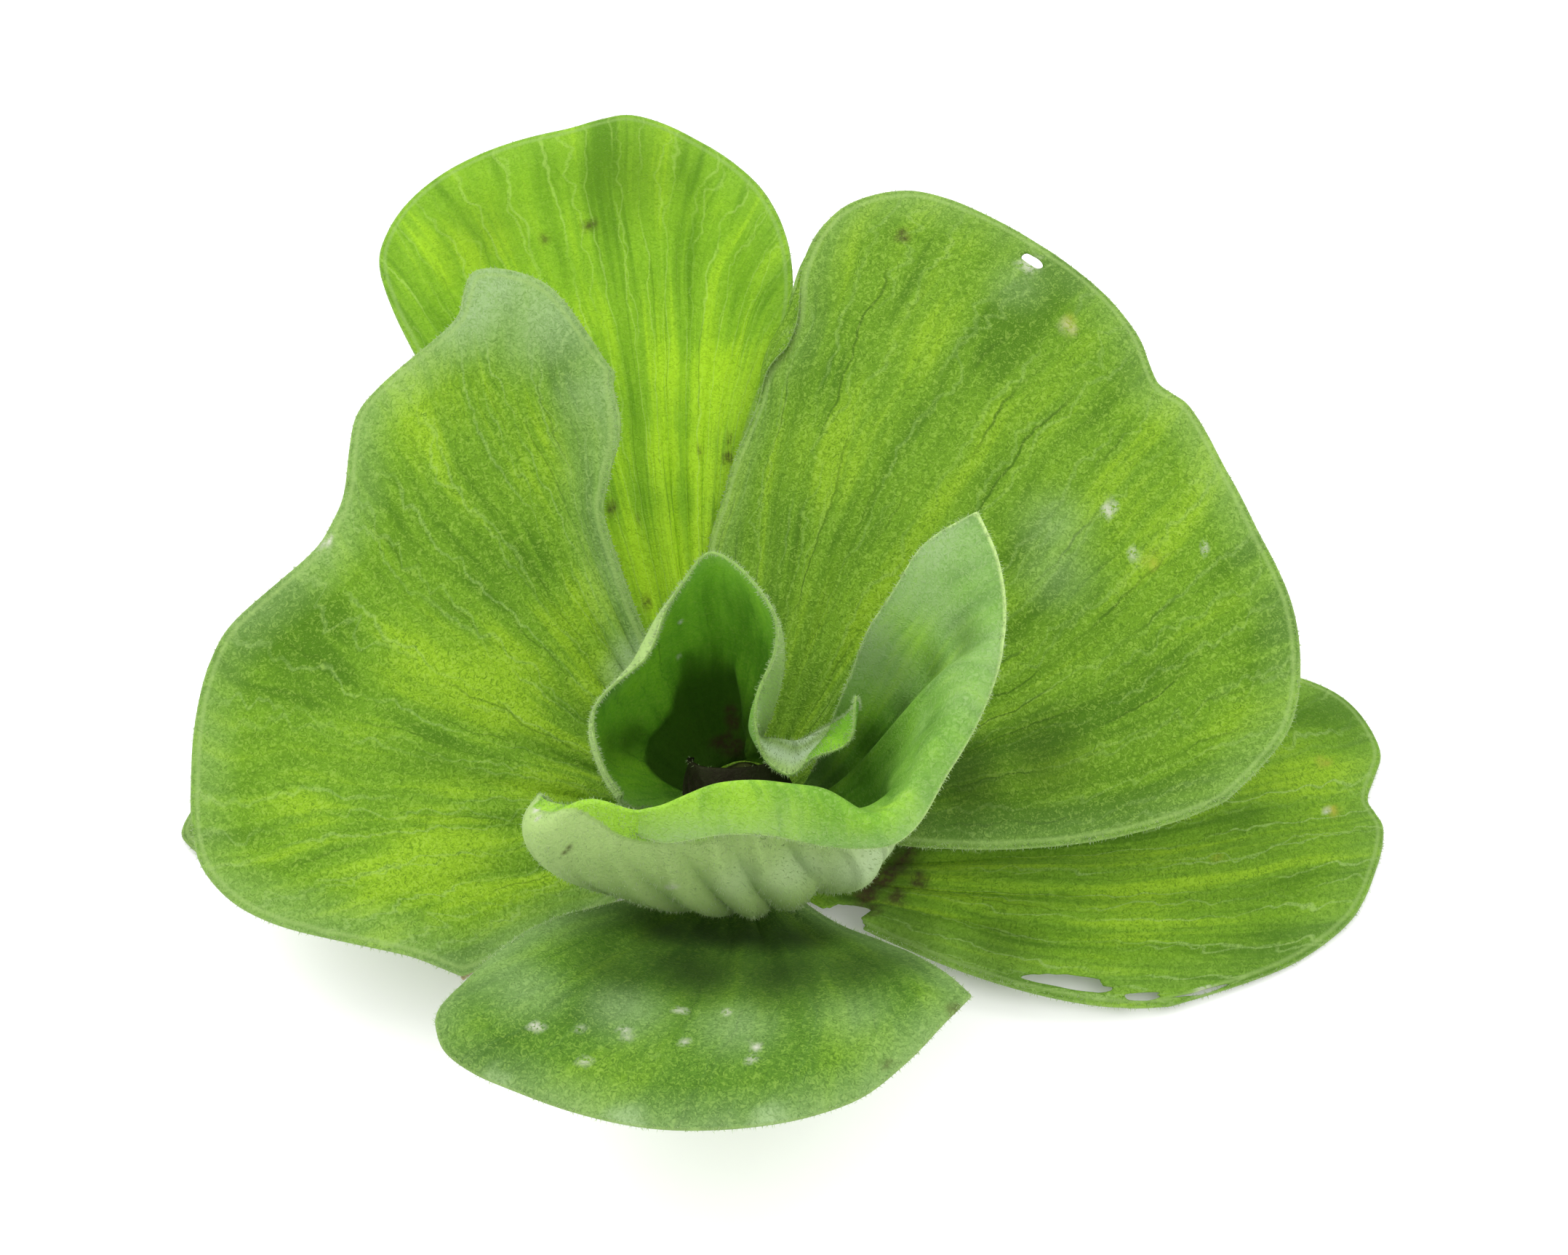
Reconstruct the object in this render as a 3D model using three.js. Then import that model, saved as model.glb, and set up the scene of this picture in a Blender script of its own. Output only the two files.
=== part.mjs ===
// A water lettuce (Pistia stratiotes) as picked, resting on a surface: a rosette of soft, fan-shaped
// leaves on a short stem, the crown, with a skirt of feathery roots lying under it.
// Millimetres, +Z up. The origin is the centre of the crown's blunt foot, on the surface,
// and -Y is the plant's front. Every leaf, root and stem is a closed solid of its own.
import * as THREE from "three";

// Driving dimensions
const rosetteWidth = 124; // over the widest leaves, along X and Y
const rosetteHeight = 48; // from the surface to the highest leaf tip
const seatGap = 0.3; // clearance between a leaf or root and the crown

const crown = { footRadius: 5.4, waistRadius: 6.4, waistHeight: 4.5, topRadius: 2.8, height: 16 };
const leafThickness = { seat: 1.7, margin: 0.8 }; // spongy at the crown, thin at the margin
const root = { radius: 0.7, sides: 6, height: 1.6, sag: 9 }; // height of its exit, and run to the surface

// The leaves' points below are drawn for a rosette this wide and this tall, and stretch with it.
const drawn = { width: 124, height: 48 };
const across = rosetteWidth / drawn.width;
const upward = rosetteHeight / drawn.height;
const stretch = ([x, y, z]) => new THREE.Vector3(x * across, y * across, z * upward);

const leafGreen = { color: 0x6aa22a, roughness: 0.75, metalness: 0 };
const youngGreen = { color: 0x86bd62, roughness: 0.8, metalness: 0 };
const oldGreen = { color: 0x5f9420, roughness: 0.75, metalness: 0 };
const crownBrown = { color: 0x4a4a22, roughness: 0.85, metalness: 0 };
const rootTan = { color: 0xa89a78, roughness: 0.85, metalness: 0 };

// Outer leaves lie low, middle leaves rise over them and the heart leaves stand upright.
// seat: where the leaf clasps the crown, as a bearing and spread in degrees and a height.
// A rib leaves its seat towards its heel and reaches its tip, on the margin, from its crest.
// Each list runs anticlockwise seen from above.
const leaves = [
  {
    name: "leaf_old_right",
    finish: oldGreen,
    seat: { bearing: -28, spread: 50, height: 3.6 },
    heels: [[15, -14, 4.5], [24, -8, 6], [26, 2, 7], [16, 6, 7]],
    crests: [[32, -20.5, 2.5], [46, -9, 6], [50, 6, 6.5], [38, 17, 8]],
    tips: [[43, -18, 1], [55, -13.5, 0.8], [62.5, -8, 0.8], [66, -2, 0.8], [67.8, 4, 0.8], [66.6, 7.5, 0.8],
      [68.8, 13.5, 0.8], [65.6, 21, 1], [58, 24, 2], [48, 24, 4], [38, 20, 6]],
  },
  {
    name: "leaf_old_left",
    finish: oldGreen,
    seat: { bearing: 198, spread: 50, height: 3.6 },
    heels: [[-15, 6, 6.5], [-20, 2, 6], [-20, -3, 6], [-14, -5, 5]],
    crests: [[-28, 14, 7], [-44, 6, 6], [-40, -1, 5.5], [-22, -6, 4]],
    tips: [[-36, 19, 4], [-48, 17, 2], [-56, 11, 1], [-60, 3.4, 0.8], [-57, 0, 0.8], [-49, -3, 0.8],
      [-39, -5, 1.2], [-28, -6.5, 2]],
  },
  {
    name: "leaf_back",
    finish: leafGreen,
    seat: { bearing: 125, spread: 60, height: 6.7 },
    heels: [[-4, 22, 10], [-6, 26, 15], [-10, 29, 18], [-15, 26, 16], [-14, 18, 12]],
    crests: [[-3, 37, 20], [-6, 48, 30], [-12, 54, 34], [-22, 50, 31], [-29, 36, 20]],
    tips: [[4, 47, 28], [5, 53, 31], [4.2, 60, 33.5], [1, 66, 35.5], [-6, 72, 36.5], [-13.5, 75.5, 37],
      [-20, 74, 36.5], [-30, 71.5, 35], [-38, 67, 32], [-41, 60, 29], [-36.5, 50, 25]],
  },
  {
    name: "leaf_front",
    finish: oldGreen,
    seat: { bearing: 262, spread: 60, height: 6.7 },
    heels: [[-11, -12, 8], [-5, -17, 7], [3, -17, 7], [10, -14, 7]],
    crests: [[-19, -19, 25], [-11, -29, 31], [2, -32, 32], [12, -27, 29], [16, -21, 19]],
    tips: [[-24.8, -28.4, 24], [-27.4, -32.8, 25.5], [-26.2, -36.6, 25], [-20.4, -39.6, 24], [-9.8, -43.1, 24],
      [0.6, -44, 25], [11, -40.4, 24], [18.2, -33.3, 24], [21.3, -29.4, 23]],
  },
  {
    name: "leaf_right",
    finish: leafGreen,
    seat: { bearing: 45, spread: 130, height: 9 },
    heels: [[18, -7, 12], [22, 3, 16], [17, 14, 20], [6, 22, 22], [-5, 21, 14]],
    crests: [[34, -9, 13], [43, 7, 26], [34, 27, 34], [12, 44, 38], [-6.5, 40, 24]],
    tips: [[47.5, -5.5, 19.5], [53.8, 0.5, 22.5], [55.5, 6.5, 25], [55, 13.5, 27.5], [52.5, 20, 29.5],
      [49.5, 28, 31], [46, 35, 33], [43, 37.5, 33.5], [41.5, 42.5, 34.5], [38, 48, 36], [32, 53, 38],
      [24.5, 58, 39], [18, 60.5, 39.5], [11, 59, 39], [7, 55, 37], [3.5, 44, 32]],
  },
  {
    name: "leaf_left",
    finish: leafGreen,
    seat: { bearing: 170, spread: 90, height: 9 },
    heels: [[-13, 18, 22], [-15, 17, 21], [-18, 11, 17], [-20, 2, 15], [-20, -5, 13], [-12, -10.5, 9]],
    crests: [[-19, 28, 39], [-26, 32, 41], [-31, 22, 33], [-40, 8, 27], [-42, -2, 21], [-32, -10, 16],
      [-20, -16.5, 10]],
    tips: [[-13.3, 32, 41], [-16.5, 36, 44], [-20.5, 40, 46], [-27.5, 41.5, 46], [-29.2, 37.5, 43.5],
      [-35.2, 36, 38], [-40, 32, 34.5], [-40.7, 23.5, 32], [-43.3, 18, 30], [-51.5, 11, 26.5], [-54, 5, 24],
      [-54.6, -3.5, 20], [-53.5, -10.5, 16.5], [-49.5, -14.5, 14.5], [-43.5, -16.5, 13], [-33, -18, 11],
      [-27.6, -19.5, 9.5]],
  },
  {
    name: "leaf_cup",
    finish: youngGreen,
    seat: { bearing: -60, spread: 150, height: 11.2 },
    heels: [[-12.3, -10.3, 13], [-13.8, -19.7, 9], [-2.3, -25.9, 8], [10, -21.8, 8], [15.6, -10.9, 12],
      [14, 0, 14], [9, 1, 14]],
    crests: [[-22.4, -16.9, 26], [-23.8, -21.4, 38], [-10.3, -14.7, 46], [-2.6, -9.7, 51], [3.8, -10.3, 51],
      [12, -12, 46], [19, -7, 46], [18, -1, 43], [8, 4, 36]],
    tips: [[-17, -11.5, 30], [-18.5, -14, 33], [-15.5, -15.8, 32.5], [-11, -16.8, 31.5], [-6.8, -18, 31],
      [-2, -17.8, 32], [3, -17.8, 31.8], [7.6, -18.4, 31], [14.1, -18.6, 32], [18.3, -14.9, 36],
      [21.5, -10.8, 39.5], [23.8, -6, 43], [24.3, -2, 46], [23.8, 2.1, 48.5], [22.3, 5.8, 50]],
  },
  {
    name: "leaf_heart",
    finish: youngGreen,
    seat: { bearing: 120, spread: 170, height: 13.2 },
    heels: [[6, 4, 19], [6, 3, 21], [3, 3, 21], [3, 5, 20], [-2, 9, 19], [-8, 7, 16], [-12, 2, 14],
      [-9, -3, 13.5]],
    crests: [[12, 0, 25], [5.5, -2, 23], [-0.5, -3, 26], [5, 4.5, 31], [-2, 10, 34], [-12.5, 7, 29],
      [-16.5, 0, 21], [-13, -6.5, 19]],
    tips: [[10.8, -4.3, 35.5], [8.8, -6, 32], [6.5, -7.4, 29.5], [4.6, -8.3, 28], [2.4, -7.4, 29],
      [1.4, -5.2, 31], [1.6, -2.5, 33.5], [3, -0.2, 36], [3.2, 2, 39], [1.2, 4.2, 41.5], [-1.2, 6, 43],
      [-3.2, 6.8, 43], [-5.4, 5.4, 40.5], [-7.2, 4.6, 37], [-9, 2.2, 33], [-11.8, 0.8, 31], [-14.2, -0.8, 29],
      [-14.4, -3, 27.5], [-13.2, -5.8, 25], [-11.6, -7.6, 23.5]],
  },
  {
    name: "leaf_bud",
    finish: youngGreen,
    seat: { bearing: 270, spread: 100, height: 13.4 },
    heels: [[-6, -5, 14], [0, -8, 14], [6, -4, 14]],
    crests: [[-7, -4, 19], [0, -8, 20], [6, -3, 18]],
    tips: [[-5, 0.5, 18.5], [-5.5, -1, 20.5], [-4, -3, 22], [0, -3.5, 22.5], [3.5, -2, 21.5], [3, -0.5, 19]],
  },
];
const grid = { columnsPerTip: 2, rows: 9 };

// Roots leave the crown's side, drop to the surface and lie on it: bearings in degrees, lengths, and
// how far the end swings to the left of the bearing.
const roots = [
  { bearing: 15, length: 24, swing: 6 },
  { bearing: 42, length: 31, swing: -5 },
  { bearing: 68, length: 36, swing: 7 },
  { bearing: 94, length: 38, swing: -6 },
  { bearing: 120, length: 36, swing: 5 },
  { bearing: 146, length: 33, swing: -7 },
  { bearing: 172, length: 30, swing: 6 },
  { bearing: 200, length: 26, swing: -4 },
  { bearing: 228, length: 18, swing: 4 },
  { bearing: 256, length: 15, swing: -3 },
  { bearing: 284, length: 14, swing: 3 },
];

const radians = THREE.MathUtils.degToRad;
const polar = (bearing, reach, height) =>
  new THREE.Vector3(reach * Math.cos(radians(bearing)), reach * Math.sin(radians(bearing)), height);

// The crown's profile from foot to top, as [radius, height].
function crownProfile() {
  const { footRadius, waistRadius, waistHeight, topRadius, height } = crown;
  return [
    [0, 0],
    [footRadius, 0],
    [waistRadius, waistHeight],
    [(waistRadius + topRadius) / 2 + 0.6, (waistHeight + height) / 2],
    [topRadius, height - 1.5],
    [topRadius * 0.55, height],
    [0, height],
  ];
}

// The crown's radius at a height, from its profile.
function crownRadius(height) {
  const wall = crownProfile().slice(1, 5);
  const above = wall.findIndex(([, h]) => h >= height);
  const next = above < 0 ? wall.length - 1 : Math.max(1, above);
  const [[r0, h0], [r1, h1]] = [wall[next - 1], wall[next]];
  return r0 + ((r1 - r0) * (height - h0)) / (h1 - h0);
}

function crownGeometry() {
  const outline = crownProfile().map(([radius, height]) => new THREE.Vector2(radius, height));
  return new THREE.LatheGeometry(outline, 20).rotateX(Math.PI / 2);
}

// Moves a point level to the crown's side, clear of it by the seat's gap.
function ontoCrown(point) {
  const scale = (crownRadius(point.z) + seatGap) / Math.hypot(point.x, point.y);
  return point.set(point.x * scale, point.y * scale, point.z);
}

// The leaf's middle surface as ribs of points, seat to margin. The heels, the crests and the tips are
// each smoothed into a curve across the leaf, which every rib takes its own points from.
function leafSheet({ seat, heels, crests, tips }) {
  const [heelLine, crestLine, margin] = [heels, crests, tips].map(
    (points) => new THREE.CatmullRomCurve3(points.map(stretch), false, "centripetal"),
  );
  const columns = (tips.length - 1) * grid.columnsPerTip;
  const sheet = [];
  for (let column = 0; column <= columns; column++) {
    const u = column / columns;
    const foot = ontoCrown(polar(seat.bearing + (u - 0.5) * seat.spread, 1, seat.height));
    const across = [heelLine, crestLine, margin].map((line) => line.getPoint(u));
    const rib = new THREE.CubicBezierCurve3(foot, ...across);
    sheet.push(rib.getPoints(grid.rows));
  }
  return sheet;
}

// Thick at the seat's middle and thinning towards the margin all round.
function thicknessAt(u, v) {
  const body = (1 - v) ** 1.6 * Math.sin(Math.PI * u) ** 0.7;
  return leafThickness.margin + (leafThickness.seat - leafThickness.margin) * body;
}

// The normal at each point of a sheet, summed over the cells round it.
function sheetNormals(sheet) {
  const normals = sheet.map((rib) => rib.map(() => new THREE.Vector3()));
  for (let i = 0; i + 1 < sheet.length; i++) {
    for (let j = 0; j + 1 < sheet[i].length; j++) {
      const rising = sheet[i + 1][j + 1].clone().sub(sheet[i][j]);
      const falling = sheet[i][j + 1].clone().sub(sheet[i + 1][j]);
      const facing = falling.cross(rising);
      for (const [a, b] of [[i, j], [i + 1, j], [i, j + 1], [i + 1, j + 1]]) normals[a][b].add(facing);
    }
  }
  normals.forEach((rib) => rib.forEach((normal) => normal.normalize()));
  return normals;
}

// A closed leaf: an upper and a lower skin half a thickness each side of the sheet, joined round the edge.
function leafGeometry(leaf) {
  const sheet = leafSheet(leaf);
  const normals = sheetNormals(sheet);
  const lastColumn = sheet.length - 1;
  const lastRow = sheet[0].length - 1;
  const positions = [];
  for (const side of [0.5, -0.5]) {
    sheet.forEach((rib, i) =>
      rib.forEach((point, j) => {
        const offset = side * thicknessAt(i / lastColumn, j / lastRow);
        const skin = point.clone().addScaledVector(normals[i][j], offset);
        positions.push(...(j ? skin : ontoCrown(skin)).toArray());
      }),
    );
  }
  const upper = (i, j) => i * (lastRow + 1) + j;
  const lower = (i, j) => upper(i, j) + (lastColumn + 1) * (lastRow + 1);
  const faces = [];
  const quad = (a, b, c, d) => faces.push(a, b, c, a, c, d);
  for (let i = 0; i < lastColumn; i++) {
    for (let j = 0; j < lastRow; j++) {
      quad(upper(i, j), upper(i, j + 1), upper(i + 1, j + 1), upper(i + 1, j));
      quad(lower(i, j), lower(i + 1, j), lower(i + 1, j + 1), lower(i, j + 1));
    }
    quad(upper(i + 1, 0), lower(i + 1, 0), lower(i, 0), upper(i, 0));
    quad(upper(i, lastRow), lower(i, lastRow), lower(i + 1, lastRow), upper(i + 1, lastRow));
  }
  for (let j = 0; j < lastRow; j++) {
    quad(upper(0, j), lower(0, j), lower(0, j + 1), upper(0, j + 1));
    quad(upper(lastColumn, j + 1), lower(lastColumn, j + 1), lower(lastColumn, j), upper(lastColumn, j));
  }
  const geometry = new THREE.BufferGeometry();
  geometry.setAttribute("position", new THREE.Float32BufferAttribute(positions, 3));
  geometry.setIndex(faces);
  geometry.computeVertexNormals();
  return geometry;
}

// A root leaves the crown level, sinks to the surface over its sag and snakes outwards on it.
function rootGeometry({ bearing, length, swing }) {
  const start = crownRadius(root.height) + seatGap;
  const steps = 6;
  const path = [];
  for (let step = 0; step <= steps; step++) {
    const along = (length * step) / steps;
    const drop = THREE.MathUtils.smoothstep(along, 0, root.sag);
    const height = THREE.MathUtils.lerp(root.height, root.radius, drop);
    const sideways = swing * Math.sin((Math.PI * 1.4 * step) / steps) * (step / steps);
    const point = polar(bearing, start + along, height);
    path.push(point.add(polar(bearing + 90, sideways, 0)));
  }
  const section = new THREE.Shape();
  for (let side = 0; side < root.sides; side++) {
    const angle = (2 * Math.PI * side) / root.sides;
    const corner = [root.radius * Math.cos(angle), root.radius * Math.sin(angle)];
    side ? section.lineTo(...corner) : section.moveTo(...corner);
  }
  section.closePath();
  return new THREE.ExtrudeGeometry(section, {
    extrudePath: new THREE.CatmullRomCurve3(path),
    steps: 12,
    curveSegments: 1,
  });
}

function addMesh(group, name, geometry, finish) {
  const mesh = new THREE.Mesh(geometry, new THREE.MeshStandardMaterial(finish));
  mesh.name = name;
  group.add(mesh);
}

const plant = new THREE.Group();
addMesh(plant, "crown", crownGeometry(), crownBrown);
for (const leaf of leaves) addMesh(plant, leaf.name, leafGeometry(leaf), leaf.finish);
roots.forEach((one, index) => addMesh(plant, `root_${index + 1}`, rootGeometry(one), rootTan));

export default plant;
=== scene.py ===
"""A water lettuce as picked: its leaves, crown and roots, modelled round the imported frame."""

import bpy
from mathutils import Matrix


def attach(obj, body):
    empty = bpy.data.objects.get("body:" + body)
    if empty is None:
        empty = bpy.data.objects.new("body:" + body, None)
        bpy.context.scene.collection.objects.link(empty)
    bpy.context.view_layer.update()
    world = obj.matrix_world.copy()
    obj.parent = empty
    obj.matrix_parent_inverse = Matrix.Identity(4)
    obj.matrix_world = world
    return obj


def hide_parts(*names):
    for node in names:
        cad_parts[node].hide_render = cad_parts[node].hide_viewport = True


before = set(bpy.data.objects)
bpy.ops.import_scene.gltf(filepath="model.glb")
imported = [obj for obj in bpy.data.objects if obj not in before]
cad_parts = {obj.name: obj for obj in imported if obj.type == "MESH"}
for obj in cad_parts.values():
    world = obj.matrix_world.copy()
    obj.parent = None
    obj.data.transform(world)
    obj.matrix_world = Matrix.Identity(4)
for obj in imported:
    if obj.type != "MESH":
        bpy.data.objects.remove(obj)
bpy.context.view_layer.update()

import math

import bmesh
import bpy
import numpy as np
from mathutils import Vector, noise

bl_info = {
    "name": "Water lettuce",
    "version": (1, 0, 0),
    "blender": (4, 5, 0),
    "location": "3D View > Sidebar > Water lettuce",
    "description": "Models a water lettuce's leaves, crown and roots round its frame",
    "category": "Add Mesh",
}

MM = 0.001
SEED = 7
THIRDS = (0.0, 2.094, 4.189)  # the corners of a three-sided hair or side root, as angles


# ---- Settings ----


def colour(name, description, default):
    return bpy.props.FloatVectorProperty(
        name=name, description="Colour of " + description,
        subtype="COLOR", size=3, default=default, min=0, max=1)


def distance(name, description, default, least, most):
    return bpy.props.FloatProperty(
        name=name, description=description,
        subtype="DISTANCE", unit="LENGTH", default=default, min=least, max=most, precision=5)


class LeafSettings(bpy.types.PropertyGroup):
    """Sizes and colours that all the leaves share"""

    green: colour("Green", "the blade between its streaks", (0.150, 0.305, 0.016))
    # deep green, darkened, is also the colour of painted shade
    deep: colour("Deep green", "the dark streaks and of the hollows in the nap", (0.074, 0.180, 0.007))
    bright: colour("Bright green", "the light streaks and of the thin parts", (0.275, 0.470, 0.018))
    # the haze colour also paints light: the nap's sheen where it is seen at a slant, and bands where folds
    # catch the light
    haze_and_light: colour("Nap haze", "the nap of fine hairs where it lies thick", (0.33, 0.48, 0.215))
    underside: colour("Underside", "the downy underside", (0.38, 0.52, 0.19))
    margin: colour("Margin line", "the thin line along a leaf's margin", (0.34, 0.50, 0.15))
    scar: colour("Scar", "healed bites and scratches", (0.66, 0.66, 0.55))
    decay: colour("Decay", "the decayed parts", (0.055, 0.035, 0.014))
    nap_relief: distance(
        "Nap relief", "Depth of the relief that the nap gives the surface", 0.00016, 0, 0.001)
    tuft: distance("Tuft size", "Size of one tuft of the nap", 0.00042, 0.0001, 0.003)
    hair_length: distance(
        "Hair length", "Length of the longest hairs on margins and undersides", 0.0005, 0.0001, 0.003)
    hair_width: distance("Hair width", "Width of a hair where it leaves the leaf", 0.00007, 0.00001, 0.0005)


class RootSettings(bpy.types.PropertyGroup):
    """Sizes and colours of the crown and the roots"""

    root_colour: colour("Root", "the roots", (0.42, 0.35, 0.20))
    crown_colour: colour("Crown", "the crown", (0.10, 0.11, 0.03))
    rootlet_length: distance("Rootlet length", "Length of the longest side roots", 0.006, 0.001, 0.02)
    rootlet_radius: distance(
        "Rootlet radius", "Radius of a side root where it leaves its root", 0.00016, 0.00005, 0.001)


class StudioSettings(bpy.types.PropertyGroup):
    """Floor, light and camera"""

    floor_colour: colour("Floor", "the floor", (0.96, 0.96, 0.96))
    camera_elevation: bpy.props.FloatProperty(
        name="Camera elevation", description="Camera's angle above the horizon",
        subtype="ANGLE", unit="ROTATION", default=math.radians(52), min=0, max=math.radians(90))
    camera_distance: distance("Camera distance", "From the camera to the point it looks at", 0.27, 0.05, 5)
    sky: bpy.props.FloatProperty(
        name="Sky", description="Strength of the even light from all round",
        default=1.42, min=0, max=20)
    light: bpy.props.FloatProperty(
        name="Key light", description="Power of the soft light above the plant",
        subtype="POWER", unit="POWER", default=1.6, min=0, max=100)


# ---- Reading a leaf's ribs back from its solid ----

SAME_POINT = 2e-6  # points closer than this are one
REGULAR = 6  # triangles round a point inside a skin
LONGEST_ROW = 200  # points


def straight_on(fan, before, here):
    """The neighbour of `here` opposite `before`, on a regular mesh of six triangles round a point."""
    step = before
    for _ in range(3):
        step = fan[here][step]
    return step


def merged_mesh(node):
    """A node's solid, with each of its points once."""
    mesh = bmesh.new()
    mesh.from_mesh(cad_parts[node].data)
    bmesh.ops.remove_doubles(mesh, verts=mesh.verts, dist=SAME_POINT)
    return mesh


def straight_rows(points, fan):
    """Paths that run straight on from one corner of the mesh to the next, anticlockwise round the crown."""
    corners = [i for i in range(len(points)) if len(fan[i]) != REGULAR]
    rows = []
    for start in corners:
        for step in fan[start]:
            path = [start, step]
            while len(fan[path[-1]]) == REGULAR and len(path) < LONGEST_ROW:
                path.append(straight_on(fan, path[-2], path[-1]))
            if len(path) > 2 and path[-1] in corners:
                spot = points[path]
                turn = np.sum(spot[:-1, 0] * spot[1:, 1] - spot[:-1, 1] * spot[1:, 0])
                if turn > 0:
                    rows.append(path)
    return rows


def skin_grid(row, other, deep, across):
    """A skin's rows of points from its seat edge outwards, never back towards the other skin's."""
    grid, avoid = [row], set(other)
    while len(grid) < deep:
        row = grid[-1]
        ahead = []
        for a, b in zip(row, row[1:]):
            ahead += [c for c in across[frozenset((a, b))] if c not in avoid]
        first = [c for c in across[frozenset((row[0], ahead[0]))] if c != row[1]]
        grid.append(first + ahead)
        avoid = set(row)
    return np.array(grid)


def solid_skins(node):
    """The upper and the lower skin of a leaf's solid, each as an array of ribs by points, seat first."""
    mesh = merged_mesh(node)
    crowded = [e for e in mesh.edges if all(len(v.link_edges) == REGULAR + 1 for v in e.verts)]
    bmesh.ops.rotate_edges(mesh, edges=crowded)
    points = np.array([v.co for v in mesh.verts])
    faces = [[v.index for v in f.verts] for f in mesh.faces]
    mesh.free()
    fan = [{} for _ in points]
    across = {}
    for face in faces:
        for a, b, c in (face, face[1:] + face[:1], face[2:] + face[:2]):
            fan[a][b] = c
            across.setdefault(frozenset((a, b)), []).append(c)
    rows = straight_rows(points, fan)
    pairs = [
        (a, b) for a in rows for b in rows
        if len(a) == len(b) and all(q in fan[p] for p, q in zip(a, b)) and a != b
        and points[a][:, 2].mean() > points[b][:, 2].mean()
    ]
    if not pairs:
        raise RuntimeError(f"{node}: no seat edges found")
    upper, lower = min(pairs, key=lambda pair: sum(np.abs(points[row]).sum(axis=1).max() for row in pair))
    deep = len(points) // 2 // len(upper)
    grids = skin_grid(upper, lower, deep, across), skin_grid(lower, upper, deep, across)
    return [points[grid.T] for grid in grids]


def blend_weights(places, count):
    """Weights that carry `count` evenly spaced values to `places` (0 to 1) on a smooth curve."""
    s = np.clip(places, 0, 1) * (count - 1)
    i = np.minimum(s.astype(int), count - 2)
    t = s - i
    weights = np.zeros((len(places), count + 2))
    basis = (
        -0.5 * t + t**2 - 0.5 * t**3,
        1 - 2.5 * t**2 + 1.5 * t**3,
        0.5 * t + 2 * t**2 - 1.5 * t**3,
        -0.5 * t**2 + 0.5 * t**3,
    )
    for k, part in enumerate(basis):
        np.add.at(weights, (np.arange(len(places)), i + k), part)
    inner = weights[:, 1:-1].copy()
    inner[:, 0] += 2 * weights[:, 0]
    inner[:, 1] -= weights[:, 0]
    inner[:, -1] += 2 * weights[:, -1]
    inner[:, -2] -= weights[:, -1]
    return inner


class RibSheet:
    """A leaf's middle surface and thickness, at any place across (u) and along (v) its ribs."""

    def __init__(self, node):
        upper, lower = solid_skins(node)
        self.middle = (upper + lower) / 2
        self.thickness = np.linalg.norm(upper - lower, axis=2)

    def spread(self, values, u, v):
        a = blend_weights(u, values.shape[0])
        b = blend_weights(v, values.shape[1])
        return np.einsum("ni,nj,ijk->nk", a, b, values.reshape(*values.shape[:2], -1))

    def place(self, u, v):
        return self.spread(self.middle, u, v)

    def thick(self, u, v):
        return self.spread(self.thickness, u, v)[:, 0]

    def normal(self, u, v, step=0.012):
        along = self.place(u, np.minimum(v + step, 1)) - self.place(u, np.maximum(v - step, 0))
        round_ = self.place(np.minimum(u + step, 1), v) - self.place(np.maximum(u - step, 0), v)
        facing = np.cross(along, round_)
        return facing / (np.linalg.norm(facing, axis=1, keepdims=True) + 1e-12)


# ---- Materials ----

AGED_YELLOW = (0.42, 0.42, 0.05)
HAIR_SUNK = 0.00004  # how far below the skin a hair starts
HAIR_LIGHT, HAIR_DARK = (0.50, 0.62, 0.34), (0.38, 0.52, 0.22)


class Nodes:
    """Builds a material's nodes: add() makes one and links or sets its inputs by name."""

    def __init__(self, name):
        self.material = bpy.data.materials.new(name)
        self.material.use_nodes = True
        self.tree = self.material.node_tree
        self.tree.nodes.clear()
        self.output = self.tree.nodes.new("ShaderNodeOutputMaterial")

    def add(self, kind, out=0, inputs=(), **options):
        node = self.tree.nodes.new("ShaderNode" + kind)
        for key, value in options.items():
            setattr(node, key, value)
        for key, value in dict(inputs).items():
            socket = node.inputs[key]
            if isinstance(value, bpy.types.NodeSocket):
                self.tree.links.new(value, socket)
            elif value is not None:
                socket.default_value = value
        return node.outputs[out]

    def maths(self, operation, a, b=0.5, c=0.0, clamp=False):
        return self.add("Math", operation=operation, use_clamp=clamp, inputs={0: a, 1: b, 2: c})

    def span(self, value, low, high, to_low=0.0, to_high=1.0, smooth=False):
        return self.add(
            "MapRange", interpolation_type="SMOOTHSTEP" if smooth else "LINEAR",
            inputs={"Value": value, "From Min": low, "From Max": high, "To Min": to_low, "To Max": to_high})

    def times(self, a, b):
        return self.maths("MULTIPLY", a, b)

    def ease(self, *span):
        """A span that starts and ends softly."""
        return self.span(*span, smooth=True)

    def mix(self, share, a, b):
        node = self.tree.nodes.new("ShaderNodeMix")
        node.data_type = "RGBA"
        for key, value in (("Factor_Float", share), ("A_Color", a), ("B_Color", b)):
            socket = next(s for s in node.inputs if s.identifier == key)
            if isinstance(value, bpy.types.NodeSocket):
                self.tree.links.new(value, socket)
            elif key == "Factor_Float":
                socket.default_value = value
            else:
                socket.default_value = (*tuple(value)[:3], 1)
        return next(s for s in node.outputs if s.identifier == "Result_Color")

    def noise(self, vector, scale, detail=2.0, roughness=0.5, distortion=0.0, out=0):
        return self.add("TexNoise", out=out, inputs={
            "Vector": vector, "Scale": scale, "Detail": detail, "Roughness": roughness,
            "Distortion": distortion})

    def stretch(self, vector, scale, shift=(0, 0, 0)):
        return self.add("Mapping", inputs={"Vector": vector, "Scale": scale, "Location": shift})

    def surface(self, shader):
        self.tree.links.new(shader, self.output.inputs["Surface"])
        return self.material


def scaled(colour, by):
    """A colour made lighter or darker, by one number or by one for each of red, green and blue."""
    by = by if isinstance(by, tuple) else (by, by, by)
    return tuple(min(1.0, channel * share) for channel, share in zip(tuple(colour)[:3], by))


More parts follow.
